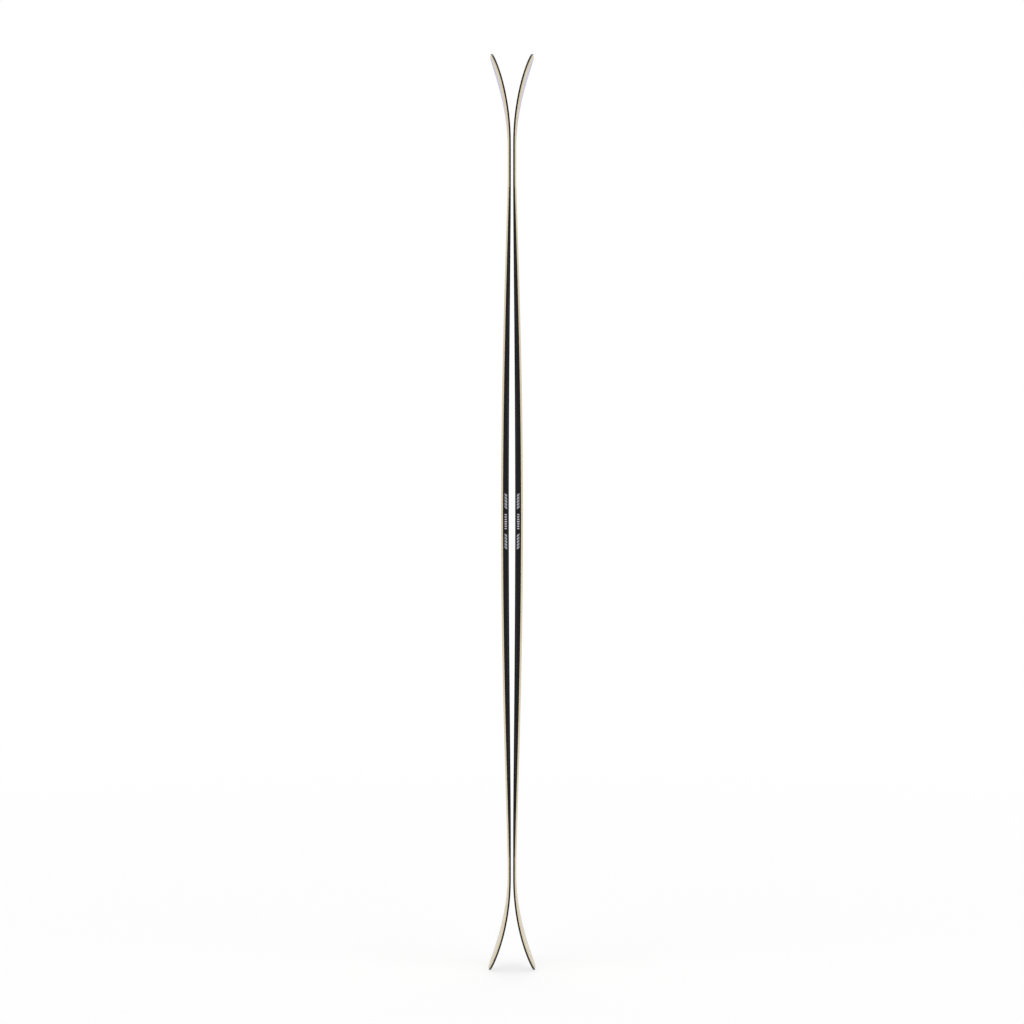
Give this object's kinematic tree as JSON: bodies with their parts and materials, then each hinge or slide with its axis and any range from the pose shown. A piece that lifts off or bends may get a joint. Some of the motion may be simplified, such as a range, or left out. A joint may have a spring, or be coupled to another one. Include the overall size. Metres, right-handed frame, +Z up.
{
  "type": "pair of alpine skis",
  "caption": "Twin-tip alpine skis without bindings, held upright base to base, each a wood-core sandwich with steel edges, black sidewalls and a cream-bordered cap.",
  "frame": {"origin": "lowest point of the pair, midway between the two tail ends; the skis' middle planes meet there", "axes": "+Z up along the skis from tails to tips, +X across the pair from the left ski to the right one, +Y across the skis' width, away from the side that the picture shows"},
  "size_m": [0.093, 0.12, 1.8],
  "materials": {
    "black_polyethylene": "sintered, structure ground",
    "edge_steel": "ground",
    "black_rubber": "matte",
    "dark_glass_fibre": "glass fibre in epoxy resin, cut edge",
    "poplar_wood": "planed",
    "ash_wood": "planed",
    "sidewall_plastic": "milled",
    "spacer_plastic": "sanded for bonding",
    "plate_aluminium": "sanded for bonding",
    "clear_glass_fibre": "glass fibre in clear epoxy resin",
    "topsheet_print": "printed, satin"
  },
  "bodies": {
    "left_ski": {"left_running_base": "black_polyethylene", "left_steel_edge_front": "edge_steel", "left_steel_edge_back": "edge_steel", "left_edge_rubber_front": "black_rubber", "left_edge_rubber_back": "black_rubber", "left_lower_laminate": "dark_glass_fibre", "left_core_centre": "poplar_wood", "left_core_inner_front": "ash_wood", "left_core_inner_back": "ash_wood", "left_core_outer_front": "poplar_wood", "left_core_outer_back": "poplar_wood", "left_sidewall_front": "sidewall_plastic", "left_sidewall_back": "sidewall_plastic", "left_tip_spacer": "spacer_plastic", "left_tail_spacer": "spacer_plastic", "left_binding_plate": "plate_aluminium", "left_upper_laminate": "clear_glass_fibre", "left_topsheet": "topsheet_print"},
    "right_ski": {"right_running_base": "black_polyethylene", "right_steel_edge_front": "edge_steel", "right_steel_edge_back": "edge_steel", "right_edge_rubber_front": "black_rubber", "right_edge_rubber_back": "black_rubber", "right_lower_laminate": "dark_glass_fibre", "right_core_centre": "poplar_wood", "right_core_inner_front": "ash_wood", "right_core_inner_back": "ash_wood", "right_core_outer_front": "poplar_wood", "right_core_outer_back": "poplar_wood", "right_sidewall_front": "sidewall_plastic", "right_sidewall_back": "sidewall_plastic", "right_tip_spacer": "spacer_plastic", "right_tail_spacer": "spacer_plastic", "right_binding_plate": "plate_aluminium", "right_upper_laminate": "clear_glass_fibre", "right_topsheet": "topsheet_print"}
  },
  "joints": [
    {"name": "ski_lift", "type": "slide", "parent": "left_ski", "child": "right_ski", "axis": [0, 0, 1], "range_m": [0, 0.2]}
  ]
}
